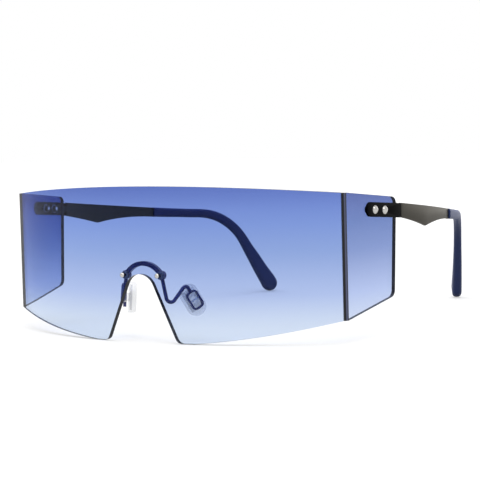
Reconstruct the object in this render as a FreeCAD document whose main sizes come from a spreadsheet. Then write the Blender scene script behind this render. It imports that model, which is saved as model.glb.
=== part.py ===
import FreeCAD, Part
import math
import os
from types import SimpleNamespace
from FreeCAD import Placement, Rotation, Vector

doc = FreeCAD.newDocument("shield_sunglasses")
sheet = doc.addObject("Spreadsheet::Sheet", "Sizes")

# Driving sizes in millimetres, and angles in degrees where the name ends in angle
sizes = {
    # Front lens: an upright cylinder with an arched top, two lobes and a nose cut
    "lens_radius": 127.96,
    "lens_half_width": 72.2,
    "lens_sag": 22.87,
    "lens_thickness": 2.2,
    "lens_top_centre": 57.0,
    "lens_top_corner": 53.5,
    "lens_bottom_corner": 8.1,
    "lens_rest_outer": 22.0,
    "lens_edge_run": 46.0,
    "lens_edge_rise": 2.9,
    "nose_top": 25.0,
    "nose_top_radius": 6.5,
    "nose_side_angle": 24.3,
    "nose_corner_radius": 2.75,
    # Corner strip between the front lens and a side lens
    "strip_inner": 0.1,
    # Side lens, a flat panel that splays outwards
    "panel_splay_angle": 8.1,
    "panel_top_length": 31.5,
    "panel_bottom_length": 29.5,
    "panel_rear_top": 50.5,
    "panel_rear_bottom": 14.2,
    "panel_corner_radius": 2.8,
    # End plate on the outside of the side lens
    "plate_front": 11.6,
    "plate_front_height": 46.97,
    "plate_slope_angle": 4.1,
    "plate_height": 5.35,
    "plate_thickness": 1.0,
    "plate_corner_radius": 2.3,
    # Plate rivets with their washers and nuts
    "rivet_first": 5.1,
    "rivet_pitch": 6.2,
    "rivet_shank_radius": 0.7,
    "rivet_head_radius": 1.4,
    "rivet_head_height": 0.75,
    "washer_radius": 1.7,
    "washer_thickness": 0.4,
    "nut_radius": 1.4,
    "nut_thickness": 1.0,
    "hole_clearance": 0.04,
    # Hinge between the end plate and the temple
    "hinge_lens_gap": 0.35,
    "hinge_plate_gap": 0.3,
    "knuckle_radius": 1.2,
    "hinge_height": 4.9,
    "middle_knuckle_height": 1.7,
    "knuckle_gap": 0.15,
    "hinge_block_length": 1.0,
    "hinge_screw_radius": 0.55,
    "hinge_screw_clearance": 0.05,
    "hinge_screw_head_radius": 1.05,
    "hinge_screw_head_height": 0.6,
    "leaf_thickness": 0.8,
    "leaf_length": 6.5,
    "leaf_height": 3.6,
    "leaf_start": 1.6,
    # Temple arm, a flat strip bent to an arc, with a point on its lower edge
    "arm_gap": 0.2,
    "arm_thickness": 1.0,
    "arm_bend_radius": 255.0,
    "arm_length": 58.3,
    "arm_front_top": 48.2,
    "arm_front_bottom": 42.85,
    "arm_rear_top": 42.8,
    "arm_rear_bottom": 38.7,
    "arm_flank_run": 13.0,
    "arm_flank_height": 40.6,
    "arm_point_run": 24.0,
    "arm_point_height": 38.2,
    "arm_back_run": 40.0,
    "arm_back_height": 39.4,
    "tang_length": 24.0,
    "tang_height": 2.0,
    "tang_clearance": 0.04,
    # Temple tip, a moulded sleeve that bends down behind the ear
    "tip_slope_angle": 4.3,
    "tip_straight": 27.5,
    "tip_bend_radius": 28.0,
    "tip_drop_angle": 59.5,
    "tip_front_height": 4.2,
    "tip_waist_height": 3.9,
    "tip_bend_height": 4.5,
    "tip_paddle_height": 7.6,
    "tip_front_thickness": 2.6,
    "tip_bend_thickness": 3.3,
    "tip_paddle_thickness": 4.2,
    # Nose bracket behind the lens
    "bracket_half_span": 7.68,
    "bracket_rivet_height": 24.46,
    "bracket_arch_top": 28.7,
    "bracket_width": 1.65,
    "bracket_thickness": 1.5,
    "bracket_lug_radius": 1.65,
    "bracket_washer_radius": 1.5,
    "bracket_washer_thickness": 0.45,
    "seat_gap": 0.02,
    "bracket_shank_radius": 0.5,
    "bracket_head_radius": 0.9,
    "bracket_head_height": 0.45,
    "bracket_tail_height": 0.5,
    "wire_radius": 0.7,
    "wire_low_out": 10.3,
    "wire_low_height": 12.4,
    "wire_high_out": 13.9,
    "wire_high_back": 6.6,
    "wire_high_height": 20.9,
    "wire_seat": 0.3,
    "wire_low_radius": 1.7,
    "wire_high_radius": 1.3,
    # Nose pads, placed by the centre of the pad screw
    "pad_out": 15.7,
    "pad_back": 13.0,
    "pad_height_up": 14.8,
    "pad_splay_angle": 34.0,
    "pad_lean_out_angle": 21.0,
    "pad_lean_back_angle": 23.0,
    "pad_length": 12.5,
    "pad_width": 7.0,
    "pad_thickness": 3.0,
    "pad_gap": 0.75,
    "pad_edge_radius": 1.1,
    "pad_corner_radius": 3.2,
    "box_length": 7.2,
    "box_width": 4.8,
    "box_thickness": 1.2,
    "box_wall": 0.7,
    "box_corner_radius": 1.6,
    "core_length": 8.0,
    "core_width": 5.0,
    "core_thickness": 0.8,
    "core_cover": 0.5,
    "core_clearance": 0.03,
    "lug_length": 2.4,
    "lug_side_gap": 0.6,
    "lug_reach": 0.5,
    "pad_screw_radius": 0.35,
    "pad_screw_clearance": 0.05,
    "pad_screw_head_radius": 0.65,
    "pad_screw_head_height": 0.4,
    # How far a cut runs past the solid that it cuts
    "overrun": 3.0,
}

# Shape of the rounded tip: its corner as a share of its thickness, and shares of the end's quarter turn
tip_corner_share = 0.42
tip_cap_angle_shares = (0.0, 0.25, 0.5, 0.75, 0.93)
tip_section_count = 14

for row, name in enumerate(sizes, start=1):
    sheet.set("A%d" % row, name)
    sheet.set("B%d" % row, str(sizes[name]))
    sheet.setAlias("B%d" % row, name)
doc.recompute()
mm = SimpleNamespace(**{name: float(sheet.get(name)) for name in sizes})
nodes = {}


def flat(across, up):
    return Vector(across, up, 0)


def line(start, end):
    return Part.LineSegment(start, end)


def arc(start, middle, end):
    return Part.ArcOfCircle(start, middle, end)


def circle(centre, radius):
    return Part.Circle(centre, Vector(0, 0, 1), radius)


def ring_of_lines(points):
    return [line(point, points[(i + 1) % len(points)]) for i, point in enumerate(points)]


def corner_arc(before, corner, after, radius):
    """Start, middle and end of the arc that rounds a corner."""
    to_before = (before - corner).normalize()
    to_after = (after - corner).normalize()
    half = to_before.getAngle(to_after) / 2
    run = radius / math.tan(half)
    inward = (to_before + to_after).normalize()
    middle = corner + inward * (radius / math.sin(half) - radius)
    return corner + to_before * run, middle, corner + to_after * run


def rounded(corners):
    """Closed outline through corners given as a point and a radius, zero for a sharp one."""
    marks = []
    for i, (corner, radius) in enumerate(corners):
        if radius > 0:
            marks.append(corner_arc(corners[i - 1][0], corner, corners[(i + 1) % len(corners)][0], radius))
        else:
            marks.append((corner, None, corner))
    edges = []
    for i, (start, middle, end) in enumerate(marks):
        if middle is not None:
            edges.append(arc(start, middle, end))
        edges.append(line(end, marks[(i + 1) % len(marks)][0]))
    return edges


def rounded_box(length_across, length_up, radius):
    across = length_across / 2
    up = length_up / 2
    corners = [flat(-across, -up), flat(across, -up), flat(across, up), flat(-across, up)]
    return rounded([(corner, radius) for corner in corners])


def new_body(name):
    body = doc.addObject("PartDesign::Body", name)
    body.Label = name
    return body


def sketch_on(body, role, edges):
    sketch = body.newObject("Sketcher::SketchObject", body.Name + "_sketch")
    plane = [feature for feature in body.Origin.OriginFeatures if feature.Role == role][0]
    sketch.AttachmentSupport = [(plane, "")]
    sketch.MapMode = "FlatFace"
    sketch.addGeometry(edges, False)
    return sketch


def pad(body, role, edges, length, side="One side", reverse=False):
    feature = body.newObject("PartDesign::Pad", body.Name + "_pad")
    feature.Profile = sketch_on(body, role, edges)
    feature.setExpression("Length", length)
    feature.SideType = side
    feature.Reversed = reverse
    doc.recompute()
    return feature


def cut_through(body, role, edges):
    """Cuts both ways through the body and checks that material went."""
    before = body.Shape.Volume
    feature = body.newObject("PartDesign::Pocket", body.Name + "_cut")
    feature.Profile = sketch_on(body, role, edges)
    feature.Type = "ThroughAll"
    feature.SideType = "Symmetric"
    doc.recompute()
    if body.Shape.Volume >= before:
        raise RuntimeError(body.Name + " was not cut")


def turned(name, edges, place):
    """A turned piece: a half outline of radius and height, spun about the local Z axis."""
    body = new_body(name)
    feature = body.newObject("PartDesign::Revolution", name + "_turn")
    sketch = sketch_on(body, "XZ_Plane", edges)
    feature.Profile = sketch
    feature.ReferenceAxis = (sketch, ["V_Axis"])
    body.Placement = place
    doc.recompute()
    return body


def headed_pin(shank_radius, shank_length, head_radius, head_height):
    """Half outline of a pin with a domed head, whose head sits on height zero."""
    dome = (head_radius ** 2 + head_height ** 2) / (2 * head_height)
    half = math.asin(head_radius / dome) / 2
    middle = flat(dome * math.sin(half), head_height - dome + dome * math.cos(half))
    points = [flat(0, head_height), flat(0, -shank_length), flat(shank_radius, -shank_length),
              flat(shank_radius, 0), flat(head_radius, 0)]
    edges = [line(points[i], points[i + 1]) for i in range(len(points) - 1)]
    edges.append(arc(points[-1], middle, points[0]))
    return edges


def tube(inner, outer, low, high):
    return ring_of_lines([flat(inner, low), flat(outer, low), flat(outer, high), flat(inner, high)])


def cylinder(name, radius, height, place):
    feature = doc.addObject("Part::Cylinder", name)
    feature.setExpression("Radius", radius)
    feature.setExpression("Height", height)
    feature.Placement = place
    return feature


def box(name, length, width, height, place):
    feature = doc.addObject("Part::Box", name)
    feature.setExpression("Length", length)
    feature.setExpression("Width", width)
    feature.setExpression("Height", height)
    feature.Placement = place
    return feature


def fuse(name, pieces):
    feature = doc.addObject("Part::MultiFuse", name)
    feature.Shapes = pieces
    return feature


def cut(name, base, tool):
    feature = doc.addObject("Part::Cut", name)
    feature.Base = base
    feature.Tool = tool
    return feature


def group(name, pieces):
    feature = doc.addObject("Part::Compound", name)
    feature.Links = pieces
    return feature


def keep(name, feature):
    feature.Label = name
    nodes[name] = feature


def mirrored(name, source):
    feature = doc.addObject("Part::Mirroring", name)
    feature.Source = source
    feature.Normal = Vector(1, 0, 0)
    return feature


def keep_pair(name, feature):
    """Keeps the right piece and its mirror image on the left."""
    keep("right_" + name, feature)
    keep("left_" + name, mirrored("left_" + name, feature))


def shift(across, back, up):
    return Placement(Vector(across, back, up), Rotation())


def along(axis):
    """Turns the local Z axis to the given direction."""
    return Placement(Vector(0, 0, 0), Rotation(Vector(0, 0, 1), axis))


x_axis = Vector(1, 0, 0)
y_axis = Vector(0, 1, 0)

# Plan of the lens corner, the side panel and the hinge pin, measured from the lens corner line
lens_centre = mm.lens_radius - mm.lens_sag
lens_back_radius = mm.lens_radius - mm.lens_thickness
end_turn = math.asin(mm.lens_half_width / mm.lens_radius)
splay = math.radians(mm.panel_splay_angle)
lens_along = Vector(math.cos(end_turn), math.sin(end_turn), 0)
lens_out = Vector(math.sin(end_turn), -math.cos(end_turn), 0)
panel_along = Vector(math.sin(splay), math.cos(splay), 0)
panel_out = Vector(math.cos(splay), -math.sin(splay), 0)
lens_end_out = Vector(0, lens_centre, 0) + lens_out * mm.lens_radius
lens_end_in = lens_end_out - lens_out * mm.lens_thickness
corner_inside = lens_end_in + lens_along * mm.strip_inner
panel_start_in = corner_inside + panel_along * mm.strip_inner
panel_start_out = panel_start_in + panel_out * mm.lens_thickness

plate_drop = math.tan(math.radians(mm.plate_slope_angle))
plate_half = mm.plate_height / 2
rear_lean = (mm.panel_top_length - mm.panel_bottom_length) / (mm.panel_rear_top - mm.panel_rear_bottom)
lens_rear = mm.panel_top_length - rear_lean * (mm.panel_rear_top - mm.plate_front_height)
hinge_run = lens_rear + mm.hinge_lens_gap + mm.knuckle_radius
hinge_inset = mm.knuckle_radius + mm.hinge_plate_gap
hinge_level = mm.plate_front_height - plate_drop * (hinge_run - mm.plate_front)
hinge_pin = panel_start_out + panel_along * hinge_run - panel_out * hinge_inset


def lens_front_at(across):
    return lens_centre - math.sqrt(mm.lens_radius ** 2 - across ** 2)


def lens_back_at(across):
    return lens_centre - math.sqrt(lens_back_radius ** 2 - across ** 2)


# Path and sections of the temple tip, in a frame on the hinge pin
arm_face = hinge_inset + mm.arm_thickness
arm_middle_radius = mm.arm_bend_radius - mm.arm_thickness / 2
arm_bend_centre = arm_face - mm.arm_bend_radius
tip_start_level = (mm.arm_rear_top + mm.arm_rear_bottom) / 2
tip_slope = math.radians(mm.tip_slope_angle)
tip_drop = math.radians(mm.tip_drop_angle)
bend_length = mm.tip_bend_radius * (tip_drop - tip_slope)
straight_back = mm.arm_length + mm.tip_straight * math.cos(tip_slope)
straight_level = tip_start_level - mm.tip_straight * math.sin(tip_slope)
bend_back = straight_back + mm.tip_bend_radius * (math.sin(tip_drop) - math.sin(tip_slope))
bend_level = straight_level - mm.tip_bend_radius * (math.cos(tip_slope) - math.cos(tip_drop))
cap_radius = mm.tip_paddle_height / 2
drop_length = (bend_level - cap_radius) / math.sin(tip_drop)


def tip_place(run):
    """Back, level and slope of the tip's middle line at a run along it."""
    if run <= mm.tip_straight:
        return mm.arm_length + run * math.cos(tip_slope), tip_start_level - run * math.sin(tip_slope), tip_slope
    if run <= mm.tip_straight + bend_length:
        slope = tip_slope + (run - mm.tip_straight) / mm.tip_bend_radius
        back = straight_back + mm.tip_bend_radius * (math.sin(slope) - math.sin(tip_slope))
        return back, straight_level - mm.tip_bend_radius * (math.cos(tip_slope) - math.cos(slope)), slope
    rest = run - mm.tip_straight - bend_length
    return bend_back + rest * math.cos(tip_drop), bend_level - rest * math.sin(tip_drop), tip_drop


def tip_section(run, height, thickness):
    """Rounded section of the tip, square to its path."""
    back, level, slope = tip_place(run)
    turn = math.asin(back / arm_middle_radius)
    centre = Vector(arm_bend_centre + arm_middle_radius * math.cos(turn), back, level)
    out = Vector(math.cos(turn), math.sin(turn), 0)
    plan_along = Vector(-math.sin(turn), math.cos(turn), 0)
    up = plan_along * math.sin(slope) + Vector(0, 0, math.cos(slope))
    edges = []
    for edge in rounded_box(thickness, height, tip_corner_share * min(thickness, height)):
        points = [edge.StartPoint, edge.value((edge.FirstParameter + edge.LastParameter) / 2), edge.EndPoint]
        placed = [centre + out * point.x + up * point.y for point in points]
        if isinstance(edge, Part.LineSegment):
            edges.append(Part.makeLine(placed[0], placed[2]))
        else:
            edges.append(Part.Arc(*placed).toShape())
    return Part.Wire(edges)


def tip_solid():
    """Loft of evenly spaced sections to the paddle, and a second loft that rounds the end."""
    bend_end = mm.tip_straight + bend_length
    length = bend_end + drop_length
    marks = [(0, mm.tip_front_height, mm.tip_front_thickness),
             (mm.tip_straight / 2, mm.tip_waist_height, (mm.tip_front_thickness + mm.tip_bend_thickness) / 2),
             (mm.tip_straight, mm.tip_waist_height, mm.tip_bend_thickness),
             (bend_end, mm.tip_bend_height, mm.tip_bend_thickness),
             (length, mm.tip_paddle_height, mm.tip_paddle_thickness)]
    sections = []
    for i in range(tip_section_count + 1):
        run = length * i / tip_section_count
        low, high = [pair for pair in zip(marks, marks[1:]) if run <= pair[1][0] or pair[1] is marks[-1]][0]
        share = (run - low[0]) / (high[0] - low[0])
        sections.append(tip_section(run, low[1] + (high[1] - low[1]) * share, low[2] + (high[2] - low[2]) * share))
    cap = []
    for share in tip_cap_angle_shares:
        turn = share * math.pi / 2
        cap.append(tip_section(length + cap_radius * math.sin(turn), mm.tip_paddle_height * math.cos(turn),
                               mm.tip_paddle_thickness * math.sqrt(math.cos(turn))))
    return Part.makeLoft(sections, True, False).fuse(Part.makeLoft(cap, True, False))


def arm_band(thickness, start, end, side=1):
    """Plan of a strip that follows the arm's bend between two distances behind the hinge pin, left if side is -1."""
    radii = (arm_middle_radius + thickness / 2, arm_middle_radius - thickness / 2)
    rows = []
    for radius in radii:
        turns = [math.asin(back / arm_middle_radius) for back in (start, (start + end) / 2, end)]
        rows.append([flat(side * (arm_bend_centre + radius * math.cos(turn)), radius * math.sin(turn))
                     for turn in turns])
    outer, inner = rows
    return [arc(*outer), line(outer[2], inner[2]), arc(inner[2], inner[1], inner[0]), line(inner[0], outer[0])]


def tang_corners(grow, reach):
    """Side outline of the tang inside the tip, from its front top corner."""
    half = mm.tang_height / 2 + grow
    tang_end = mm.arm_length + reach
    end_level = tip_start_level - (tang_end - mm.arm_length) * math.tan(tip_slope)
    return [flat(mm.arm_length, tip_start_level + half), flat(tang_end, end_level + half),
            flat(tang_end, end_level - half), flat(mm.arm_length, tip_start_level - half)]


tip_blank = tip_solid()

# The model's middle: half way from the bracket rivet heads to the back of the tips
bracket_head_seat = lens_front_at(mm.bracket_half_span - mm.bracket_head_radius) - mm.seat_gap
front_most = min(lens_front_at(0), bracket_head_seat - mm.bracket_head_height)
rear_most = hinge_pin.y + tip_blank.optimalBoundingBox().YMax
frame = shift(0, -(front_most + rear_most) / 2, 0)
panel_frame = frame * Placement(panel_start_out, Rotation(Vector(0, 0, 1), -mm.panel_splay_angle))
temple_frame = frame * Placement(hinge_pin, Rotation())

# Front lens: a curved band, trimmed to the outline seen from the front
front_lens = new_body("front_lens")
band = []
for radius in (mm.lens_radius, lens_back_radius):
    band.append([flat(radius * math.sin(turn), lens_centre - radius * math.cos(turn))
                 for turn in (-end_turn, 0, end_turn)])
front, back = band
pad(front_lens, "XY_Plane",
    [arc(*front), line(front[2], back[2]), arc(back[2], back[1], back[0]), line(back[0], front[0])],
    "Sizes.lens_top_centre + Sizes.overrun")
side_turn = math.radians(mm.nose_side_angle)
nose_centre = mm.nose_top - mm.nose_top_radius
nose_side = flat(mm.nose_top_radius * math.cos(side_turn), nose_centre + mm.nose_top_radius * math.sin(side_turn))
nose_foot = flat(nose_side.x + nose_side.y * math.tan(side_turn), 0)
lens_wide = mm.lens_half_width + mm.overrun
edge_slope = (mm.lens_bottom_corner - mm.lens_edge_rise) / (mm.lens_half_width - mm.lens_edge_run)
corner_end = flat(lens_wide, mm.lens_bottom_corner + edge_slope * mm.overrun)
top_slope = 2 * (mm.lens_top_centre - mm.lens_top_corner) / mm.lens_half_width
top_end = flat(lens_wide, mm.lens_top_corner - top_slope * mm.overrun)
foot_start, foot_middle, foot_end = corner_arc(nose_side, nose_foot, flat(mm.lens_rest_outer, 0),
                                               mm.nose_corner_radius)


def other_side(point):
    return flat(-point.x, point.y)


rest_end = flat(mm.lens_rest_outer, 0)
edge_middle = flat(mm.lens_edge_run, mm.lens_edge_rise)
half_outline = [(nose_side, None, foot_start), (foot_start, foot_middle, foot_end), (foot_end, None, rest_end),
                (rest_end, edge_middle, flat(mm.lens_half_width, mm.lens_bottom_corner)),
                (flat(mm.lens_half_width, mm.lens_bottom_corner), None, corner_end), (corner_end, None, top_end),
                (top_end, None, flat(mm.lens_half_width, mm.lens_top_corner))]
lens_outline = [arc(other_side(nose_side), flat(0, mm.nose_top), nose_side)]
for start, middle, end in half_outline:
    for place in (lambda point: point, other_side):
        if middle is None:
            lens_outline.append(line(place(start), place(end)))
        else:
            lens_outline.append(arc(place(start), place(middle), place(end)))
top_corner = flat(mm.lens_half_width, mm.lens_top_corner)
lens_outline.append(arc(top_corner, flat(0, mm.lens_top_centre), other_side(top_corner)))
trim_wide = lens_wide + mm.overrun
trim_high = mm.lens_top_centre + mm.overrun + mm.overrun
trim = ring_of_lines([flat(-trim_wide, -mm.overrun), flat(trim_wide, -mm.overrun),
                      flat(trim_wide, trim_high), flat(-trim_wide, trim_high)])
cut_through(front_lens, "XZ_Plane", trim + lens_outline)
bracket_hole = mm.bracket_shank_radius + mm.hole_clearance
cut_through(front_lens, "XZ_Plane", [circle(flat(side * mm.bracket_half_span, mm.bracket_rivet_height), bracket_hole)
                                     for side in (-1, 1)])
front_lens.Placement = frame
keep("front_lens", front_lens)

# Side lens: a flat panel with two rivet holes
panel_middle_slope = (mm.panel_rear_bottom - mm.lens_bottom_corner) / mm.panel_bottom_length
rivet_runs = [mm.plate_front + mm.rivet_first + mm.rivet_pitch * i for i in range(2)]
rivet_spots = [flat(run, mm.plate_front_height - plate_drop * (run - mm.plate_front)) for run in rivet_runs]
rivet_hole = mm.rivet_shank_radius + mm.hole_clearance
rivet_holes = [circle(spot, rivet_hole) for spot in rivet_spots]
side_lens = new_body("right_side_lens")
pad(side_lens, "YZ_Plane",
    rounded([(flat(0, mm.lens_bottom_corner), 0),
             (flat(mm.panel_bottom_length, mm.panel_rear_bottom), mm.panel_corner_radius),
             (flat(mm.panel_top_length, mm.panel_rear_top), mm.panel_corner_radius),
             (flat(0, mm.lens_top_corner), 0)]) + rivet_holes,
    "Sizes.lens_thickness", reverse=True)
side_lens.Placement = panel_frame
keep_pair("side_lens", side_lens)

# Corner strip: the bead that fills the outside of the corner between the two lenses
strip = new_body("right_corner_strip")
corner_out = corner_inside + (lens_out + panel_out).normalize() * (
    (lens_end_out - corner_inside).Length + (panel_start_out - corner_inside).Length) * 0.5
pad(strip, "XY_Plane",
    [arc(lens_end_out, corner_out, panel_start_out), line(panel_start_out, panel_start_in),
     line(panel_start_in, lens_end_in), line(lens_end_in, lens_end_out)],
    "Sizes.lens_top_corner - Sizes.lens_bottom_corner")
strip.Placement = frame * shift(0, 0, mm.lens_bottom_corner)
keep_pair("corner_strip", strip)

# End plate, riveted to the outside of the side lens
end_plate = new_body("right_end_plate")
plate_ends = [(mm.plate_front, mm.plate_corner_radius), (hinge_run, 0)]
plate_corners = [(flat(run, mm.plate_front_height - plate_drop * (run - mm.plate_front) - plate_half), radius)
                 for run, radius in plate_ends]
plate_corners += [(flat(run, mm.plate_front_height - plate_drop * (run - mm.plate_front) + plate_half), radius)
                  for run, radius in reversed(plate_ends)]
pad(end_plate, "YZ_Plane", rounded(plate_corners) + rivet_holes, "Sizes.plate_thickness")
end_plate.Placement = panel_frame
keep_pair("end_plate", end_plate)

# Plate rivets outside, with a washer and a nut inside each
grip = mm.plate_thickness + mm.lens_thickness + mm.washer_thickness
rivets = []
washers = []
nuts = []
for i, spot in enumerate(rivet_spots):
    spot_frame = panel_frame * shift(mm.plate_thickness, spot.x, spot.y) * along(x_axis)
    rivets.append(turned("plate_rivet_%d" % i,
                         headed_pin(mm.rivet_shank_radius, grip + mm.nut_thickness, mm.rivet_head_radius,
                                    mm.rivet_head_height), spot_frame))
    washers.append(turned("rivet_washer_%d" % i,
                          tube(rivet_hole, mm.washer_radius, -grip, mm.washer_thickness - grip), spot_frame))
    nuts.append(turned("rivet_nut_%d" % i,
                       tube(rivet_hole, mm.nut_radius, -grip - mm.nut_thickness, -grip), spot_frame))
keep_pair("plate_rivets", group("right_plate_rivets", rivets))
keep_pair("rivet_washers", group("right_rivet_washers", washers))
keep_pair("rivet_nuts", group("right_rivet_nuts", nuts))

# Front hinge: the top and bottom knuckles, with a block from each to the end plate
hinge_base = hinge_level - mm.hinge_height / 2
end_knuckle = "(Sizes.hinge_height - Sizes.middle_knuckle_height) / 2 - Sizes.knuckle_gap"
upper_base = hinge_level + mm.middle_knuckle_height / 2 + mm.knuckle_gap
knuckle_parts = []
for side, base in (("lower", hinge_base), ("upper", upper_base)):
    knuckle_parts.append(cylinder(side + "_knuckle", "Sizes.knuckle_radius", end_knuckle,
                                  panel_frame * shift(-hinge_inset, hinge_run, base)))
    knuckle_parts.append(box(side + "_block", "Sizes.knuckle_radius + Sizes.hinge_plate_gap",
                             "Sizes.hinge_block_length", end_knuckle,
                             panel_frame * shift(-hinge_inset, hinge_run - mm.hinge_block_length, base)))
hinge_bore = cylinder("front_hinge_bore", "Sizes.hinge_screw_radius + Sizes.hinge_screw_clearance",
                      "Sizes.hinge_height + 2 * Sizes.overrun",
                      panel_frame * shift(-hinge_inset, hinge_run, hinge_base - mm.overrun))
keep_pair("front_hinge", cut("right_front_hinge", fuse("front_knuckles", knuckle_parts), hinge_bore))

# Hinge screw, put in from above
screw_frame = panel_frame * shift(-hinge_inset, hinge_run, hinge_level + mm.hinge_height / 2)
keep_pair("hinge_screw", turned("right_hinge_screw",
                                headed_pin(mm.hinge_screw_radius, mm.hinge_height, mm.hinge_screw_head_radius,
                                           mm.hinge_screw_head_height), screw_frame))

# Temple arm: a strip bent to an arc, trimmed to its side outline, with a tang for the tip
tang = tang_corners(0, mm.tang_length + mm.overrun)
arm_point = flat(mm.arm_point_run, mm.arm_point_height)
arm_start_low = flat(mm.arm_gap, mm.arm_front_bottom)
arm_start_high = flat(mm.arm_gap, mm.arm_front_top)
arm_clear_low = flat(-mm.overrun, mm.arm_front_bottom)
arm_clear_high = flat(-mm.overrun, mm.arm_front_top)
arm_end_low = flat(mm.arm_length, mm.arm_rear_bottom)
arm_end_high = flat(mm.arm_length, mm.arm_rear_top)
arm_outline = [line(arm_start_high, arm_end_high), line(arm_end_high, tang[0]), line(tang[0], tang[1]),
               line(tang[1], tang[2]), line(tang[2], tang[3]), line(tang[3], arm_end_low),
               arc(arm_end_low, flat(mm.arm_back_run, mm.arm_back_height), arm_point),
               arc(arm_point, flat(mm.arm_flank_run, mm.arm_flank_height), arm_start_low),
               line(arm_start_low, arm_clear_low), line(arm_clear_low, arm_clear_high),
               line(arm_clear_high, arm_start_high)]
arm_trim_start = -2 * mm.overrun
arm_trim_end = mm.arm_length + mm.tang_length + 2 * mm.overrun
arm_trim_high = mm.arm_front_top + mm.overrun + mm.overrun
arm_trim = ring_of_lines([flat(arm_trim_start, -mm.overrun), flat(arm_trim_end, -mm.overrun),
                          flat(arm_trim_end, arm_trim_high), flat(arm_trim_start, arm_trim_high)])
for name, side in (("right_temple_arm", 1), ("left_temple_arm", -1)):
    temple_arm = new_body(name)
    pad(temple_arm, "XY_Plane", arm_band(mm.arm_thickness, mm.arm_gap, mm.arm_length + mm.tang_length, side),
        "Sizes.arm_front_top + Sizes.overrun")
    cut_through(temple_arm, "YZ_Plane", arm_trim + arm_outline)
    temple_arm.Placement = frame * shift(side * hinge_pin.x, hinge_pin.y, 0)
    keep(name, temple_arm)

# Temple hinge: the middle knuckle and the leaf on the inside of the arm
middle_base = hinge_level - mm.middle_knuckle_height / 2
leaf_end = mm.leaf_start + mm.leaf_length
leaf_bed = mm.seat_gap + leaf_end ** 2 / (2 * (mm.arm_bend_radius - mm.arm_thickness))
leaf_bed_text = ("(Sizes.seat_gap + (Sizes.leaf_start + Sizes.leaf_length)^2"
                 " / (2 * (Sizes.arm_bend_radius - Sizes.arm_thickness)))")
leaf_side = hinge_inset - leaf_bed - mm.leaf_thickness
temple_parts = [
    cylinder("middle_knuckle", "Sizes.knuckle_radius", "Sizes.middle_knuckle_height",
             temple_frame * shift(0, 0, middle_base)),
    box("middle_block", "Sizes.knuckle_radius + Sizes.hinge_plate_gap - " + leaf_bed_text,
        "Sizes.leaf_start + Sizes.leaf_thickness", "Sizes.middle_knuckle_height",
        temple_frame * shift(0, mm.arm_gap, middle_base)),
    box("temple_leaf", "Sizes.leaf_thickness", "Sizes.leaf_length", "Sizes.leaf_height",
        temple_frame * shift(leaf_side, mm.leaf_start, hinge_level - mm.leaf_height / 2)),
]
temple_bore = cylinder("temple_hinge_bore", "Sizes.hinge_screw_radius + Sizes.hinge_screw_clearance",
                       "Sizes.hinge_height + 2 * Sizes.overrun",
                       temple_frame * shift(0, 0, hinge_base - mm.overrun))
keep_pair("temple_hinge", cut("right_temple_hinge", fuse("temple_knuckle", temple_parts), temple_bore))

# Temple tip: the moulded sleeve over the tang
slot_plan = arm_band(mm.arm_thickness + 2 * mm.tang_clearance, mm.arm_length - mm.overrun,
                     mm.arm_length + mm.tang_length + mm.overrun)
slot_plan_face = Part.Face(Part.Wire([edge.toShape() for edge in slot_plan]))
slot_sides = [Vector(0, corner.x, corner.y) for corner in tang_corners(mm.tang_clearance, mm.tang_length + mm.tang_clearance)]
slot_side_face = Part.Face(Part.makePolygon(slot_sides + slot_sides[:1]))
slot_side_face.translate(Vector(-mm.arm_bend_radius, 0, 0))
tang_slot = slot_plan_face.extrude(Vector(0, 0, mm.arm_front_top)).common(
    slot_side_face.extrude(Vector(2 * mm.arm_bend_radius, 0, 0)))
temple_tip = doc.addObject("Part::Feature", "right_temple_tip")
temple_tip.Shape = tip_blank.cut(tang_slot)
temple_tip.Placement = temple_frame
keep_pair("temple_tip", temple_tip)

# Nose bracket: an arch with two lugs, and a wire pad arm on each side
bracket_front = lens_back_at(mm.bracket_half_span + mm.bracket_washer_radius) + mm.seat_gap
bracket_face = bracket_front + mm.bracket_washer_thickness
bracket_middle = bracket_face + mm.bracket_thickness / 2
arch_rise = mm.bracket_arch_top - mm.bracket_rivet_height
arch_radius = (mm.bracket_half_span ** 2 + arch_rise ** 2) / (2 * arch_rise)
arch_level = mm.bracket_arch_top - arch_radius
arch_turn = math.asin(mm.bracket_half_span / arch_radius)
arch = new_body("bracket_arch")
arch_rows = []
for radius in (arch_radius + mm.bracket_width / 2, arch_radius - mm.bracket_width / 2):
    arch_rows.append([flat(radius * math.sin(turn), arch_level + radius * math.cos(turn))
                      for turn in (-arch_turn, 0, arch_turn)])
arch_top, arch_low = arch_rows
pad(arch, "XZ_Plane",
    [arc(*arch_top), line(arch_top[2], arch_low[2]), arc(arch_low[2], arch_low[1], arch_low[0]),
     line(arch_low[0], arch_top[0])], "Sizes.bracket_thickness", side="Symmetric")
arch.Placement = frame * shift(0, bracket_middle, 0)

# Frame of a nose pad: its face looks inwards and back, and its lower end leans out and back
pad_down = Vector(math.tan(math.radians(mm.pad_lean_out_angle)), math.tan(math.radians(mm.pad_lean_back_angle)),
                  -1).normalize()
pad_splay = math.radians(mm.pad_splay_angle)
pad_look = Vector(-math.cos(pad_splay), math.sin(pad_splay), 0)
pad_face = (pad_look - pad_down * pad_look.dot(pad_down)).normalize()
pad_side = (pad_down * -1).cross(pad_face)
pad_centre = Vector(mm.pad_out, lens_front_at(0) + mm.pad_back, mm.pad_height_up)
pad_frame = frame * Placement(pad_centre, Rotation(pad_side, pad_down * -1, pad_face, "ZYX"))

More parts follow.
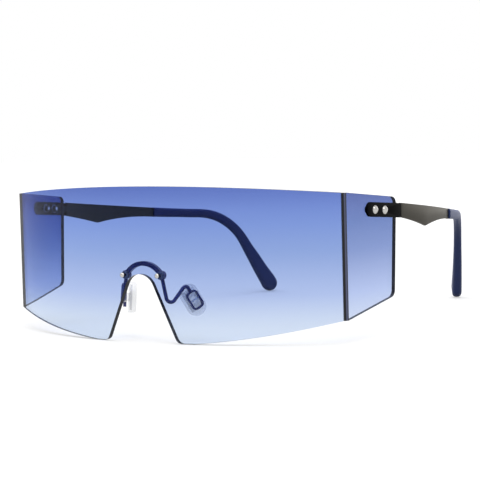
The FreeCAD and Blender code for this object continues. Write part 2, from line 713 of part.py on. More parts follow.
wire_start = Vector(mm.bracket_half_span, bracket_middle, mm.bracket_rivet_height)
wire_end = pad_centre - pad_down * ((mm.box_length - mm.box_wall) / 2) - pad_face * mm.wire_seat
wire_low = Vector(mm.wire_low_out, bracket_middle, mm.wire_low_height)
wire_high = Vector(mm.wire_high_out, bracket_middle + mm.wire_high_back, mm.wire_high_height)
low_bend = corner_arc(wire_start, wire_low, wire_high, mm.wire_low_radius)
high_bend = corner_arc(wire_low, wire_high, wire_end, mm.wire_high_radius)
wire_path = Part.Wire([Part.makeLine(wire_start, low_bend[0]), Part.Arc(*low_bend).toShape(),
                       Part.makeLine(low_bend[2], high_bend[0]), Part.Arc(*high_bend).toShape(),
                       Part.makeLine(high_bend[2], wire_end)])
wire_round = Part.Wire([Part.makeCircle(mm.wire_radius, wire_start, low_bend[0] - wire_start)])
pad_wire = doc.addObject("Part::Feature", "right_pad_arm")
pad_wire.Shape = wire_path.makePipeShell([wire_round], True, False)
pad_wire.Placement = frame
bracket_parts = [arch, pad_wire, mirrored("left_pad_arm", pad_wire)]
bracket_bores = []
bracket_rivets = []
bracket_washers = []
for side in (-1, 1):
    lug_frame = frame * shift(side * mm.bracket_half_span, bracket_face, mm.bracket_rivet_height) * along(y_axis)
    name = "lug_%d" % (side + 1)
    bracket_parts.append(cylinder(name, "Sizes.bracket_lug_radius", "Sizes.bracket_thickness", lug_frame))
    bracket_bores.append(cylinder(name + "_bore", "Sizes.bracket_shank_radius + Sizes.hole_clearance",
                                  "Sizes.bracket_thickness + 2 * Sizes.overrun",
                                  lug_frame * shift(0, 0, -mm.overrun)))
    head_level = bracket_head_seat - bracket_face
    stack = mm.bracket_thickness - head_level
    rivet_frame = lug_frame * shift(0, 0, head_level) * along(Vector(0, 0, -1))
    bracket_rivets.append(turned("bracket_rivet_%d" % (side + 1),
                                 headed_pin(mm.bracket_shank_radius, stack + mm.bracket_tail_height,
                                            mm.bracket_head_radius, mm.bracket_head_height), rivet_frame))
    bracket_washers.append(turned("bracket_washer_%d" % (side + 1),
                                  tube(bracket_hole, mm.bracket_washer_radius, -mm.bracket_washer_thickness, 0),
                                  lug_frame))
keep("nose_bracket", cut("nose_bracket", fuse("bracket_blank", bracket_parts), fuse("lug_bores", bracket_bores)))
keep("bracket_rivets", group("bracket_rivets", bracket_rivets))
keep("bracket_washers", group("bracket_washers", bracket_washers))

# Pad box: a small frame at the end of the pad arm, with a cross bore for the pad screw
box_body = new_body("pad_box_ring")
pad(box_body, "XY_Plane",
    rounded_box(mm.box_width, mm.box_length, mm.box_corner_radius)
    + rounded_box(mm.box_width - 2 * mm.box_wall, mm.box_length - 2 * mm.box_wall,
                  mm.box_corner_radius - mm.box_wall),
    "Sizes.box_thickness", side="Symmetric")
box_body.Placement = pad_frame
screw_across = pad_frame * along(x_axis)
box_bore = cylinder("pad_box_bore", "Sizes.pad_screw_radius + Sizes.hole_clearance",
                    "Sizes.box_width + 2 * Sizes.overrun",
                    screw_across * shift(0, 0, -mm.box_width / 2 - mm.overrun))
wire_tool = doc.addObject("Part::Feature", "pad_arm_tool")
wire_tool.Shape = pad_wire.Shape
keep_pair("pad_box", cut("right_pad_box", cut("pad_box_bored", box_body, box_bore), wire_tool))

# Pad screw across the box
keep_pair("pad_screw", turned("right_pad_screw",
                              headed_pin(mm.pad_screw_radius, mm.box_width, mm.pad_screw_head_radius,
                                         mm.pad_screw_head_height),
                              screw_across * shift(0, 0, mm.box_width / 2)))

# Pad core: the hard insert, with a lug that hangs on the pad screw
pad_back_level = mm.box_thickness / 2 + mm.pad_gap
core_level = pad_back_level + mm.core_cover
core_place = pad_frame * shift(-mm.core_width / 2, -mm.core_length / 2, core_level)
lug_width = "Sizes.box_width - 2 * Sizes.box_wall - 2 * Sizes.lug_side_gap"
lug_across = mm.box_width - 2 * mm.box_wall - 2 * mm.lug_side_gap
lug_height = "Sizes.lug_reach + Sizes.box_thickness / 2 + Sizes.pad_gap + Sizes.core_cover"
lug_place = pad_frame * shift(-lug_across / 2, -mm.lug_length / 2, -mm.lug_reach)
core_blank = fuse("core_blank", [
    box("core_plate", "Sizes.core_width", "Sizes.core_length", "Sizes.core_thickness", core_place),
    box("core_lug", lug_width, "Sizes.lug_length", lug_height, lug_place)])
core_bore = cylinder("core_bore", "Sizes.pad_screw_radius + Sizes.pad_screw_clearance",
                     "Sizes.box_width + 2 * Sizes.overrun",
                     screw_across * shift(0, 0, -mm.box_width / 2 - mm.overrun))
keep_pair("pad_core", cut("right_pad_core", core_blank, core_bore))

# Nose pad: silicone moulded round the core, with a rounded face
pad_body = new_body("pad_blank")
pad_block = pad(pad_body, "XY_Plane", rounded_box(mm.pad_width, mm.pad_length, mm.pad_corner_radius),
                "Sizes.pad_thickness")
face_edges = ["Edge%d" % (i + 1) for i, edge in enumerate(pad_body.Shape.Edges)
              if min(vertex.Z for vertex in edge.Vertexes) > mm.pad_thickness / 2]
soft_edge = pad_body.newObject("PartDesign::Fillet", "pad_face_round")
soft_edge.Base = (pad_block, face_edges)
soft_edge.setExpression("Radius", "Sizes.pad_edge_radius")
pad_body.Tip = soft_edge
pad_body.Placement = pad_frame * shift(0, 0, pad_back_level)
cavity_corner = Vector(mm.core_clearance, mm.core_clearance, mm.core_clearance) * -1
cavity = fuse("core_cavity", [
    box("plate_cavity", "Sizes.core_width + 2 * Sizes.core_clearance",
        "Sizes.core_length + 2 * Sizes.core_clearance", "Sizes.core_thickness + 2 * Sizes.core_clearance",
        core_place * shift(*cavity_corner)),
    box("lug_cavity", lug_width + " + 2 * Sizes.core_clearance", "Sizes.lug_length + 2 * Sizes.core_clearance",
        lug_height, lug_place * shift(*cavity_corner))])
keep_pair("nose_pad", cut("right_nose_pad", pad_body, cavity))

doc.recompute()
for feature in doc.Objects:
    if "Invalid" in feature.State or "Error" in feature.State:
        raise RuntimeError(feature.Name + " failed: " + ", ".join(feature.State))
for name, feature in nodes.items():
    if feature.Shape.isNull() or not feature.Shape.isValid() or not feature.Shape.Solids:
        raise RuntimeError(name + " has no valid solid")
os.makedirs("parts", exist_ok=True)
for name, feature in nodes.items():
    feature.Shape.exportStep("parts/" + name + ".step")
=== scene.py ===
import math
import bpy
from mathutils import Matrix, Vector


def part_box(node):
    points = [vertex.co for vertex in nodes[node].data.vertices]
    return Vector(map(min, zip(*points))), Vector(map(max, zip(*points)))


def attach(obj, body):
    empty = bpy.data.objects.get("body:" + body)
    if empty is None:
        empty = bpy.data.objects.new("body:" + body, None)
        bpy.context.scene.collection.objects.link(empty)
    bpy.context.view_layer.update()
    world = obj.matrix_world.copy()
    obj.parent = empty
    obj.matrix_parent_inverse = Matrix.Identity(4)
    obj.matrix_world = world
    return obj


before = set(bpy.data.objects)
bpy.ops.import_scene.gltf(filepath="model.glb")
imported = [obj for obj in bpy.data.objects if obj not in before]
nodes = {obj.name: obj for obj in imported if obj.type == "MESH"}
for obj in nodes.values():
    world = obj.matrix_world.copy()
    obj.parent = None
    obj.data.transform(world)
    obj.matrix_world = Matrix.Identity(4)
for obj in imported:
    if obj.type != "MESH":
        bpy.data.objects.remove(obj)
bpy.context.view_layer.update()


# Front lens and side lenses: polycarbonate sheet with a blue tint that fades to clear at the bottom.
# The shield is bent to a cylinder and the flat side lenses are bonded to its ends.
# The cut edges are polished and clear; their near-black colour is painted shade for the light they carry
# along the sheet.
def srgb(red, green, blue):
    """Linear colour for a shader from the 0 to 255 values of a screen colour."""
    linear = []
    for share in (red / 255, green / 255, blue / 255):
        linear.append(share / 12.92 if share <= 0.04045 else ((share + 0.055) / 1.055) ** 2.4)
    return (*linear, 1.0)


def new_material(name):
    """A new material, its node tree and its Principled BSDF."""
    material = bpy.data.materials.new(name)
    material.use_nodes = True
    return material, material.node_tree, material.node_tree.nodes["Principled BSDF"]


def add(tree, kind, **settings):
    """A new node of one kind in a tree, with its settings."""
    node = tree.nodes.new(kind)
    for key, value in settings.items():
        setattr(node, key, value)
    return node


def surface_group():
    """Fine grain that every finish shares: a mottled tone, a roughness and a small height."""
    grain_detail = 6.0
    cloud_scale = 60.0
    group = bpy.data.node_groups.new("fine_grain", "ShaderNodeTree")
    for name in ("Grain Scale", "Low Roughness", "High Roughness", "Tone Spread"):
        group.interface.new_socket(name=name, in_out="INPUT", socket_type="NodeSocketFloat")
    for name in ("Roughness", "Height", "Tone"):
        group.interface.new_socket(name=name, in_out="OUTPUT", socket_type="NodeSocketFloat")
    start = add(group, "NodeGroupInput")
    end = add(group, "NodeGroupOutput")
    place = add(group, "ShaderNodeTexCoord")
    grain = add(group, "ShaderNodeTexNoise")
    grain.inputs["Detail"].default_value = grain_detail
    cloud = add(group, "ShaderNodeTexNoise")
    cloud.inputs["Scale"].default_value = cloud_scale
    group.links.new(place.outputs["Object"], grain.inputs["Vector"])
    group.links.new(place.outputs["Object"], cloud.inputs["Vector"])
    group.links.new(start.outputs["Grain Scale"], grain.inputs["Scale"])
    spread = add(group, "ShaderNodeMapRange")
    group.links.new(grain.outputs["Fac"], spread.inputs["Value"])
    group.links.new(start.outputs["Low Roughness"], spread.inputs["To Min"])
    group.links.new(start.outputs["High Roughness"], spread.inputs["To Max"])
    centred = add(group, "ShaderNodeMath", operation="SUBTRACT")
    centred.inputs[1].default_value = 0.5
    group.links.new(cloud.outputs["Fac"], centred.inputs[0])
    tone = add(group, "ShaderNodeMath", operation="MULTIPLY_ADD")
    tone.inputs[2].default_value = 1.0
    group.links.new(centred.outputs["Value"], tone.inputs[0])
    group.links.new(start.outputs["Tone Spread"], tone.inputs[1])
    group.links.new(spread.outputs["Result"], end.inputs["Roughness"])
    group.links.new(grain.outputs["Fac"], end.inputs["Height"])
    group.links.new(tone.outputs["Value"], end.inputs["Tone"])
    return group


fine_grain = surface_group()


def grained(tree, shader, grain_scale, rough, tone_spread, bump):
    """Places the fine grain on a shader and returns its node."""
    bump_height = 0.00005
    grain = add(tree, "ShaderNodeGroup", node_tree=fine_grain)
    grain.inputs["Grain Scale"].default_value = grain_scale
    grain.inputs["Low Roughness"].default_value = rough[0]
    grain.inputs["High Roughness"].default_value = rough[1]
    grain.inputs["Tone Spread"].default_value = tone_spread
    tree.links.new(grain.outputs["Roughness"], shader.inputs["Roughness"])
    if bump:
        rise = add(tree, "ShaderNodeBump")
        rise.inputs["Strength"].default_value = bump
        rise.inputs["Distance"].default_value = bump_height
        tree.links.new(grain.outputs["Height"], rise.inputs["Height"])
        tree.links.new(rise.outputs["Normal"], shader.inputs["Normal"])
    return grain


def toned(tree, shader, grain):
    """Sets the base colour to a colour times the grain's tone, and returns the node that takes the colour."""
    mix = add(tree, "ShaderNodeVectorMath", operation="SCALE")
    tree.links.new(grain.outputs["Tone"], mix.inputs["Scale"])
    tree.links.new(mix.outputs["Vector"], shader.inputs["Base Color"])
    return mix


def finish(name, colour, sockets, grain_scale, rough, tone_spread, bump):
    """A finish of one colour: the shader's plain values, and the fine grain over them."""
    material, tree, shader = new_material(name)
    for socket, value in sockets.items():
        shader.inputs[socket].default_value = value
    grain = grained(tree, shader, grain_scale, rough, tone_spread, bump)
    toned(tree, shader, grain).inputs[0].default_value = colour[:3]
    return material


def colour_ramp(tree, colours):
    """A colour ramp from pairs of a share and a colour, of which the first two are its ends."""
    fade = add(tree, "ShaderNodeValToRGB")
    stops = fade.color_ramp.elements
    for i, (share, colour) in enumerate(colours):
        stop = stops[i] if i < 2 else stops.new(share)
        stop.position = share
        stop.color = colour
    return fade


def clear_shadow(material, tint):
    """Lets shadow rays through a clear piece, with its tint."""
    tree = material.node_tree
    through = add(tree, "ShaderNodeBsdfTransparent")
    through.inputs["Color"].default_value = tint
    rays = add(tree, "ShaderNodeLightPath")
    mix = add(tree, "ShaderNodeMixShader")
    tree.links.new(rays.outputs["Is Shadow Ray"], mix.inputs["Fac"])
    tree.links.new(tree.nodes["Principled BSDF"].outputs["BSDF"], mix.inputs[1])
    tree.links.new(through.outputs["BSDF"], mix.inputs[2])
    tree.links.new(mix.outputs["Shader"], tree.nodes["Material Output"].inputs["Surface"])


def lens_tint(name, colours):
    """Clear sheet whose tint follows the height above the floor."""
    lens_height = 0.057
    material, tree, shader = new_material(name)
    shader.inputs["Transmission Weight"].default_value = 1.0
    # Lower than bare polycarbonate, because the sheet mirrors little in the photograph.
    shader.inputs["IOR"].default_value = 1.16
    grained(tree, shader, grain_scale=300.0, rough=(0.0, 0.012), tone_spread=0.0, bump=0.0)
    place = add(tree, "ShaderNodeTexCoord")
    split = add(tree, "ShaderNodeSeparateXYZ")
    level = add(tree, "ShaderNodeMapRange")
    level.inputs["From Max"].default_value = lens_height
    fade = colour_ramp(tree, colours)
    tree.links.new(place.outputs["Object"], split.inputs["Vector"])
    tree.links.new(split.outputs["Z"], level.inputs["Value"])
    tree.links.new(level.outputs["Result"], fade.inputs["Fac"])
    tree.links.new(fade.outputs["Color"], shader.inputs["Base Color"])
    clear_shadow(material, srgb(226, 230, 244))
    return material


def true_cylinder(material, axis):
    """Shades a sheet's faces as the exact upright cylinder that they are cut from, on both sides."""
    tree = material.node_tree
    place = add(tree, "ShaderNodeTexCoord")
    offset = add(tree, "ShaderNodeVectorMath", operation="SUBTRACT")
    offset.inputs[1].default_value = (0.0, axis, 0.0)
    level = add(tree, "ShaderNodeVectorMath", operation="MULTIPLY")
    level.inputs[1].default_value = (1.0, 1.0, 0.0)
    turn = add(tree, "ShaderNodeVectorTransform", vector_type="NORMAL")
    turn.convert_from = "OBJECT"
    turn.convert_to = "WORLD"
    face = add(tree, "ShaderNodeNewGeometry")
    agree = add(tree, "ShaderNodeVectorMath", operation="DOT_PRODUCT")
    sign = add(tree, "ShaderNodeMath", operation="SIGN")
    flip = add(tree, "ShaderNodeVectorMath", operation="SCALE")
    unit = add(tree, "ShaderNodeVectorMath", operation="NORMALIZE")
    tree.links.new(place.outputs["Object"], offset.inputs[0])
    tree.links.new(offset.outputs["Vector"], level.inputs[0])
    tree.links.new(level.outputs["Vector"], turn.inputs["Vector"])
    tree.links.new(face.outputs["True Normal"], agree.inputs[0])
    tree.links.new(turn.outputs["Vector"], agree.inputs[1])
    tree.links.new(agree.outputs["Value"], sign.inputs[0])
    tree.links.new(turn.outputs["Vector"], flip.inputs[0])
    tree.links.new(sign.outputs["Value"], flip.inputs["Scale"])
    tree.links.new(flip.outputs["Vector"], unit.inputs[0])
    tree.links.new(unit.outputs["Vector"], tree.nodes["Principled BSDF"].inputs["Normal"])


def dress(name, material, edge_softness=0.0):
    """Gives a CAD node its material, joined triangles and smooth shading, with its real edges kept."""
    weld_gap = 0.000005
    soft_from = math.radians(40)
    edge_from = math.radians(32)
    piece = nodes[name]
    piece.data.materials.clear()
    piece.data.materials.append(material)
    for face in piece.data.polygons:
        face.use_smooth = True
    weld = piece.modifiers.new("joined", "WELD")
    weld.merge_threshold = weld_gap
    if edge_softness:
        soft = piece.modifiers.new("soft_edge", "BEVEL")
        soft.width = edge_softness
        soft.segments = 2
        soft.limit_method = "ANGLE"
        soft.angle_limit = soft_from
    split = piece.modifiers.new("kept_edges", "EDGE_SPLIT")
    split.split_angle = edge_from
    return piece


lens_radius = 0.12796
panel_splay = math.radians(8.1)
sheet_face_share = 0.9
shield_colours = ((0.0, srgb(212, 223, 236)), (1.0, srgb(89, 110, 181)), (0.1, srgb(203, 215, 232)),
                  (0.31, srgb(167, 184, 223)), (0.58, srgb(134, 157, 208)), (0.75, srgb(116, 140, 200)))
# The side lenses are the same tinted sheet; their ramp is darker towards the top as painted shade for their
# slanted view.
panel_tint_and_shade_colours = ((0.0, srgb(212, 222, 236)), (1.0, srgb(82, 94, 154)), (0.1, srgb(204, 215, 234)),
                 (0.31, srgb(172, 187, 225)), (0.58, srgb(126, 145, 195)), (0.75, srgb(104, 124, 178)))
lens_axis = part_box("front_lens")[0].y + lens_radius
shield_material = lens_tint("tinted_shield", shield_colours)
true_cylinder(shield_material, lens_axis)
panel_material = lens_tint("tinted_and_shaded_panel", panel_tint_and_shade_colours)
# Painted shade: the clear polished edges get a near-black colour, for how dark they look.
edge_shade_material = finish("lens_edge_painted_shade", srgb(16, 18, 30), {"Specular IOR Level": 0.12},
                       grain_scale=700.0, rough=(0.12, 0.24), tone_spread=0.4, bump=0.05)
panel_out = Vector((math.cos(panel_splay), -math.sin(panel_splay), 0))
for name in ("front_lens", "left_side_lens", "right_side_lens"):
    lens = dress(name, shield_material if name == "front_lens" else panel_material)
    lens.data.materials.append(edge_shade_material)
    hand = -1 if name.startswith("left") else 1
    for face in lens.data.polygons:
        out = Vector((panel_out.x * hand, panel_out.y, 0))
        if name == "front_lens":
            out = Vector((face.center.x, face.center.y - lens_axis, 0)).normalized()
        face.material_index = 0 if abs(face.normal.dot(out)) > sheet_face_share else 1

# Corner strips: a bead of black adhesive that fills the open corner between shield and side lens.
# It is smoothed flush with both sheets, and thins to a smoky grey line beside the side lens.
bead_colours = ((0.0, srgb(6, 6, 8)), (1.0, srgb(8, 8, 14)), (0.78, srgb(6, 6, 8)),
                (0.86, srgb(96, 102, 132)), (0.92, srgb(84, 90, 118)))
bead_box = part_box("right_corner_strip")
bead_material, bead_tree, bead_shader = new_material("black_bead")
bead_shader.inputs["Specular IOR Level"].default_value = 0.3
bead_grain = grained(bead_tree, bead_shader, grain_scale=1200.0, rough=(0.22, 0.4), tone_spread=0.5, bump=0.2)
bead_place = add(bead_tree, "ShaderNodeTexCoord")
bead_split = add(bead_tree, "ShaderNodeSeparateXYZ")
bead_out = add(bead_tree, "ShaderNodeMath", operation="ABSOLUTE")
bead_level = add(bead_tree, "ShaderNodeMapRange")
bead_level.inputs["From Min"].default_value = bead_box[0].x
bead_level.inputs["From Max"].default_value = bead_box[1].x
bead_fade = colour_ramp(bead_tree, bead_colours)
bead_mix = toned(bead_tree, bead_shader, bead_grain)
bead_tree.links.new(bead_place.outputs["Object"], bead_split.inputs["Vector"])
bead_tree.links.new(bead_split.outputs["X"], bead_out.inputs[0])
bead_tree.links.new(bead_out.outputs["Value"], bead_level.inputs["Value"])
bead_tree.links.new(bead_level.outputs["Result"], bead_fade.inputs["Fac"])
bead_tree.links.new(bead_fade.outputs["Color"], bead_mix.inputs[0])
for name in ("left_corner_strip", "right_corner_strip"):
    dress(name, bead_material)

# Nose bracket and pad boxes: nickel silver wire and stampings, brazed together and lacquered navy.
# The bracket is riveted through the shield on clear washers.
navy_material = finish("navy_metal", srgb(44, 48, 98), {"Metallic": 0.55, "Coat Weight": 0.4},
                       grain_scale=1500.0, rough=(0.24, 0.4), tone_spread=0.3, bump=0.1)
for name in ("nose_bracket", "left_pad_box", "right_pad_box"):
    dress(name, navy_material)

# Rivets and screws: turned steel, polished, with domed heads.
# The heads sit on the plates and the shield.
steel_material = finish("polished_steel", srgb(190, 188, 184), {"Metallic": 1.0},
                        grain_scale=2500.0, rough=(0.16, 0.3), tone_spread=0.2, bump=0.05)
dress("bracket_rivets", steel_material)
for side in ("left", "right"):
    for piece_name in ("_plate_rivets", "_pad_screw", "_hinge_screw"):
        dress(side + piece_name, steel_material)


# Rivet collars: a thin polished steel rim round the head of each plate rivet, seated on the plate.
# They are a guess at how the heads are finished, because the photograph is too coarse to show it.
def collar_tree():
    """Places one ring of round wire on every point of a mesh, facing the way the point faces."""
    tree = bpy.data.node_groups.new("rivet_collars", "GeometryNodeTree")
    tree.interface.new_socket(name="Geometry", in_out="INPUT", socket_type="NodeSocketGeometry")
    sizes = {}
    for name in ("Ring Radius", "Wire Radius"):
        socket = tree.interface.new_socket(name=name, in_out="INPUT", socket_type="NodeSocketFloat")
        sizes[name] = socket.identifier
    tree.interface.new_socket(name="Geometry", in_out="OUTPUT", socket_type="NodeSocketGeometry")
    start = add(tree, "NodeGroupInput")
    end = add(tree, "NodeGroupOutput")
    ring = add(tree, "GeometryNodeCurvePrimitiveCircle")
    wire = add(tree, "GeometryNodeCurvePrimitiveCircle")
    ring.inputs["Resolution"].default_value = 40
    wire.inputs["Resolution"].default_value = 10
    body = add(tree, "GeometryNodeCurveToMesh")
    facing = add(tree, "GeometryNodeInputNamedAttribute", data_type="FLOAT_VECTOR")
    facing.inputs["Name"].default_value = "facing"
    turned = add(tree, "FunctionNodeAlignRotationToVector", axis="Z")
    copies = add(tree, "GeometryNodeInstanceOnPoints")
    real = add(tree, "GeometryNodeRealizeInstances")
    steel = add(tree, "GeometryNodeSetMaterial")
    steel.inputs["Material"].default_value = steel_material
    tree.links.new(start.outputs["Ring Radius"], ring.inputs["Radius"])
    tree.links.new(start.outputs["Wire Radius"], wire.inputs["Radius"])
    tree.links.new(ring.outputs["Curve"], body.inputs["Curve"])
    tree.links.new(wire.outputs["Curve"], body.inputs["Profile Curve"])
    tree.links.new(start.outputs["Geometry"], copies.inputs["Points"])
    tree.links.new(body.outputs["Mesh"], copies.inputs["Instance"])
    tree.links.new(facing.outputs["Attribute"], turned.inputs["Vector"])
    tree.links.new(turned.outputs["Rotation"], copies.inputs["Rotation"])
    tree.links.new(copies.outputs["Instances"], real.inputs["Geometry"])
    tree.links.new(real.outputs["Geometry"], steel.inputs["Geometry"])
    tree.links.new(steel.outputs["Geometry"], end.inputs["Geometry"])
    return tree, sizes


collar_radius = 0.00142
collar_wire = 0.00014
collar_points = []
collar_facing = []
for side, hand in (("left", -1), ("right", 1)):
    out = Vector((panel_out.x * hand, panel_out.y, 0))
    plate_level = max(vertex.co.dot(out) for vertex in nodes[side + "_end_plate"].data.vertices)
    corners = [vertex.co for vertex in nodes[side + "_plate_rivets"].data.vertices]
    middle = (min(corner.y for corner in corners) + max(corner.y for corner in corners)) / 2
    front_rivet = [corner for corner in corners if corner.y < middle]
    rear_rivet = [corner for corner in corners if corner.y >= middle]
    for rivet in (front_rivet, rear_rivet):
        centre = (Vector(map(min, zip(*rivet))) + Vector(map(max, zip(*rivet)))) / 2
        collar_points.append(centre + out * (plate_level - centre.dot(out)))
        collar_facing.extend(out)
collar_mesh = bpy.data.meshes.new("collar_points")
collar_mesh.from_pydata(collar_points, [], [])
facing_values = collar_mesh.attributes.new("facing", "FLOAT_VECTOR", "POINT")
facing_values.data.foreach_set("vector", collar_facing)
collars = bpy.data.objects.new("rivet_collars", collar_mesh)
bpy.context.scene.collection.objects.link(collars)
collar_maker = collars.modifiers.new("collars", "NODES")
collar_maker.node_group, collar_sizes = collar_tree()
collar_maker[collar_sizes["Ring Radius"]] = collar_radius
collar_maker[collar_sizes["Wire Radius"]] = collar_wire
made = bpy.data.meshes.new_from_object(collars.evaluated_get(bpy.context.evaluated_depsgraph_get()))
collars.modifiers.remove(collar_maker)
collars.data = made
for face in made.polygons:
    face.use_smooth = True
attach(collars, "front")

# Washers: punched from clear nylon sheet.
# They lie under the bracket and the rivet nuts, and keep the metal off the lenses.
nylon_material = finish("clear_nylon", srgb(226, 230, 238), {"Transmission Weight": 0.8, "IOR": 1.45},
                        grain_scale=1500.0, rough=(0.15, 0.3), tone_spread=0.1, bump=0.0)
clear_shadow(nylon_material, srgb(235, 236, 240))
for name in ("bracket_washers", "left_rivet_washers", "right_rivet_washers"):
    dress(name, nylon_material)

# End plates and front hinges: blanked steel, deburred and coated satin black.
# Each plate is riveted to the outside of a side lens and carries two hinge knuckles.
blank_softness = 0.00012
black_material = finish("black_metal", srgb(7, 7, 9), {"Specular IOR Level": 0.03},
                        grain_scale=1800.0, rough=(0.3, 0.46), tone_spread=0.4, bump=0.15)
for side in ("left", "right"):
    dress(side + "_end_plate", black_material, blank_softness)
    dress(side + "_front_hinge", black_material)

# Temple arms, temple hinges and rivet nuts: flat steel strip, blanked with a point on its lower edge.
# It is bent to the side of a head and plated in satin gunmetal, like the nuts that close the rivets.
gun_material = finish("gunmetal", srgb(62, 60, 55),
                      {"Metallic": 0.9, "Specular Tint": (0.62, 0.61, 0.59, 1.0)},
                      grain_scale=2000.0, rough=(0.3, 0.42), tone_spread=0.2, bump=0.1)
for side in ("left", "right"):
    dress(side + "_temple_arm", gun_material, blank_softness)
    dress(side + "_temple_hinge", gun_material)
    dress(side + "_rivet_nuts", gun_material)

# Temple tips: navy acetate moulded over the tang of each arm and bent down behind the ear.
# The surface is tumbled to a soft matt.
tip_material = finish("navy_tip", srgb(37, 52, 98), {"Specular IOR Level": 0.25},
                      grain_scale=1600.0, rough=(0.42, 0.58), tone_spread=0.3, bump=0.2)
for side in ("left", "right"):
    dress(side + "_temple_tip", tip_material)

# Nose pads and pad cores: clear silicone moulded round a hard insert, whose lug hangs on the pad screw.
# The pads rock a little to find the sides of the nose.
silicone_material = finish("clear_silicone", srgb(236, 234, 228), {"Alpha": 0.24},
                           grain_scale=1200.0, rough=(0.26, 0.38), tone_spread=0.06, bump=0.0)
core_material = finish("clear_core", srgb(232, 235, 242), {"Alpha": 0.14},
                       grain_scale=1400.0, rough=(0.2, 0.3), tone_spread=0.06, bump=0.0)
for side in ("left", "right"):
    dress(side + "_nose_pad", silicone_material)
    dress(side + "_pad_core", core_material)


# Studio: a pale floor that keeps a faint shadow, a white surround, and large soft lamps.
# The surround shows white, and lights the pieces at a plain level.
def seen_rays(tree):
    """One for rays that show the surround, also through glass and in metal, and zero for the rest."""
    rays = add(tree, "ShaderNodeLightPath")
    seen = rays.outputs["Is Camera Ray"]
    for kind in ("Is Transmission Ray", "Is Glossy Ray"):
        either = add(tree, "ShaderNodeMath", operation="MAXIMUM")
        tree.links.new(seen, either.inputs[0])
        tree.links.new(rays.outputs[kind], either.inputs[1])
        seen = either.outputs["Value"]
    return seen


floor_half = 3.0
floor_drop = 0.0002
floor_grey = (0.14, 0.14, 0.14, 1.0)
shadow_grey = (0.4, 0.4, 0.4, 1.0)
glow_settings = {"From Min": 0.3, "From Max": 0.9, "To Min": 0.43, "To Max": 0.58}
floor_corners = [(-floor_half, -floor_half, 0), (floor_half, -floor_half, 0),
                 (floor_half, floor_half, 0), (-floor_half, floor_half, 0)]
floor_mesh = bpy.data.meshes.new("floor")
floor_mesh.from_pydata(floor_corners, [], [(0, 1, 2, 3)])
floor = bpy.data.objects.new("floor", floor_mesh)
floor.location.z = -floor_drop
bpy.context.scene.collection.objects.link(floor)
floor_material = bpy.data.materials.new("pale_floor")
floor_material.use_nodes = True
floor_tree = floor_material.node_tree
floor_tree.nodes.clear()
floor_end = add(floor_tree, "ShaderNodeOutputMaterial")
matt = add(floor_tree, "ShaderNodeBsdfDiffuse")
matt.inputs["Color"].default_value = floor_grey
faint = add(floor_tree, "ShaderNodeBsdfDiffuse")
faint.inputs["Color"].default_value = shadow_grey
glow = add(floor_tree, "ShaderNodeEmission")
floor_place = add(floor_tree, "ShaderNodeTexCoord")
floor_reach = add(floor_tree, "ShaderNodeVectorMath", operation="LENGTH")
floor_rise = add(floor_tree, "ShaderNodeMapRange")
for name, value in glow_settings.items():
    floor_rise.inputs[name].default_value = value
both = add(floor_tree, "ShaderNodeAddShader")
choice = add(floor_tree, "ShaderNodeMixShader")
floor_tree.links.new(floor_place.outputs["Object"], floor_reach.inputs[0])
floor_tree.links.new(floor_reach.outputs["Value"], floor_rise.inputs["Value"])
floor_tree.links.new(floor_rise.outputs["Result"], glow.inputs["Strength"])
floor_tree.links.new(glow.outputs["Emission"], both.inputs[0])
floor_tree.links.new(faint.outputs["BSDF"], both.inputs[1])
floor_tree.links.new(seen_rays(floor_tree), choice.inputs["Fac"])
floor_tree.links.new(matt.outputs["BSDF"], choice.inputs[1])
floor_tree.links.new(both.outputs["Shader"], choice.inputs[2])
floor_tree.links.new(choice.outputs["Shader"], floor_end.inputs["Surface"])
floor_mesh.materials.append(floor_material)

sky_at_horizon = 0.1
sky_full_height = 0.6
world = bpy.data.worlds.new("studio")
bpy.context.scene.world = world
world.use_nodes = True
world_tree = world.node_tree
world_tree.nodes.clear()
world_end = add(world_tree, "ShaderNodeOutputWorld")
fill = add(world_tree, "ShaderNodeBackground")
white = add(world_tree, "ShaderNodeBackground")
for background in (fill, white):
    background.inputs["Color"].default_value = (1.0, 1.0, 1.0, 1.0)
sky_place = add(world_tree, "ShaderNodeTexCoord")
sky_split = add(world_tree, "ShaderNodeSeparateXYZ")
sky_level = add(world_tree, "ShaderNodeMapRange")
sky_level.inputs["To Min"].default_value = sky_at_horizon
sky_level.inputs["From Max"].default_value = sky_full_height
world_choice = add(world_tree, "ShaderNodeMixShader")
world_tree.links.new(sky_place.outputs["Generated"], sky_split.inputs["Vector"])
world_tree.links.new(sky_split.outputs["Z"], sky_level.inputs["Value"])
world_tree.links.new(sky_level.outputs["Result"], fill.inputs["Strength"])
world_tree.links.new(seen_rays(world_tree), world_choice.inputs["Fac"])
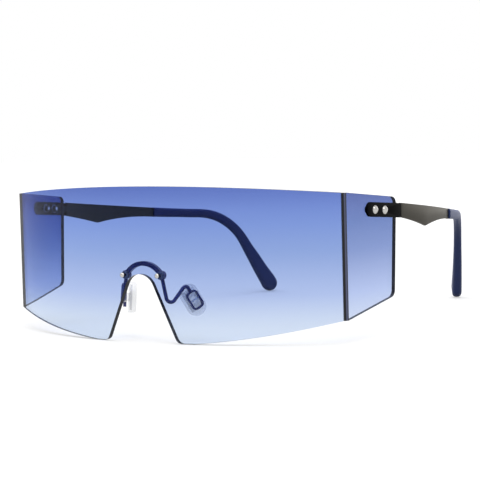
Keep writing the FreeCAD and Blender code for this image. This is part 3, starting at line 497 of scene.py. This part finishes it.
world_tree.links.new(fill.outputs["Background"], world_choice.inputs[1])
world_tree.links.new(white.outputs["Background"], world_choice.inputs[2])
world_tree.links.new(world_choice.outputs["Shader"], world_end.inputs["Surface"])

# Each lamp has a name, a place, a width and a power, and points at the middle of the floor.
lamps = (("key_lamp", (0.5, -0.6, 0.9), 0.8, 4.5),
         ("fill_lamp", (-0.8, 0.2, 0.8), 0.9, 4.0),
         ("rear_lamp", (0.2, 0.9, 0.25), 0.5, 1.1))
for name, place, width, power in lamps:
    lamp = bpy.data.lights.new(name, "AREA")
    lamp.size = width
    lamp.energy = power
    stand = bpy.data.objects.new(name, lamp)
    stand.location = place
    stand.rotation_euler = (-Vector(place)).to_track_quat("-Z", "Y").to_euler()
    bpy.context.scene.collection.objects.link(stand)

sun = bpy.data.lights.new("overhead", "SUN")
sun.angle = math.radians(40)
sun.energy = 1.5
bpy.context.scene.collection.objects.link(bpy.data.objects.new("overhead", sun))

# Camera: at the photograph's viewing angle, from a fit of its perspective.
# The target is a point between the temples, and the camera leans a little to one side.
azimuth = math.radians(31.222)
elevation = math.radians(3.945)
roll = math.radians(-1.499)
target_across = 0.005415
target_behind_lens = 0.06287
target_height = 0.033024
camera_distance = 0.63044
back = Vector((math.sin(azimuth) * math.cos(elevation), -math.cos(azimuth) * math.cos(elevation),
               math.sin(elevation)))
across = Vector((math.cos(azimuth), math.sin(azimuth), 0))
up = back.cross(across)
rolled_across = across * math.cos(roll) + up * math.sin(roll)
rolled_up = up * math.cos(roll) - across * math.sin(roll)
target = Vector((target_across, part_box("front_lens")[0].y + target_behind_lens, target_height))
turn = Matrix((rolled_across, rolled_up, back)).transposed()
camera = bpy.data.objects.new("camera", bpy.data.cameras.new("camera"))
camera.data.sensor_width = 36.0
camera.data.lens = 119.35
camera.matrix_world = Matrix.Translation(target + back * camera_distance) @ turn.to_4x4()
bpy.context.scene.collection.objects.link(camera)
bpy.context.scene.camera = camera
bpy.context.scene.view_settings.view_transform = "Standard"
